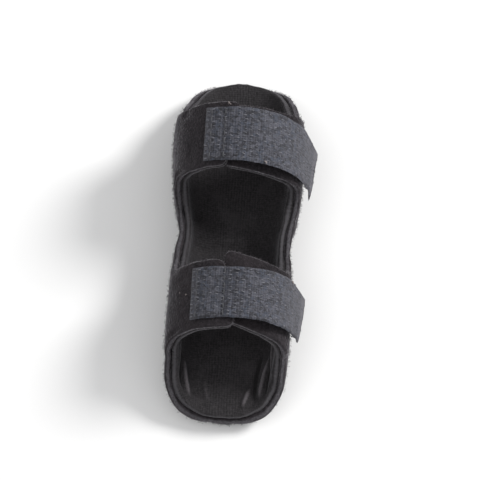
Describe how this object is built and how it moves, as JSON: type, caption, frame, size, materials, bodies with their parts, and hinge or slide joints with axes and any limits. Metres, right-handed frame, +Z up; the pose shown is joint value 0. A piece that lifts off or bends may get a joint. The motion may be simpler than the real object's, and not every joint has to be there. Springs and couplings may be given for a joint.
{
  "type": "finger splint",
  "caption": "Padded open trough for one finger with a spoon-shaped tip, wings that wrap over the finger, and hook-tape straps.",
  "frame": {"origin": "middle of the flat palmar face, on the surface that the splint rests on", "axes": "+Y from the fingertip towards the hand, +Z up through the back of the finger, +X towards the straps' free ends"},
  "size_m": [0.0261, 0.0651, 0.0247],
  "materials": {
    "loop_fabric": "brushed loop knit, nearly black, matt and slightly fuzzy",
    "lining_fabric": "smooth black lining knit, matt",
    "hook_tape": "woven hook tape, dark grey with a blue cast and fine light specks"
  },
  "bodies": {
    "root": {"padded_shell": "loop_fabric", "inner_lining": "lining_fabric", "tip_strap": "hook_tape", "knuckle_strap": "hook_tape"}
  },
  "joints": []
}
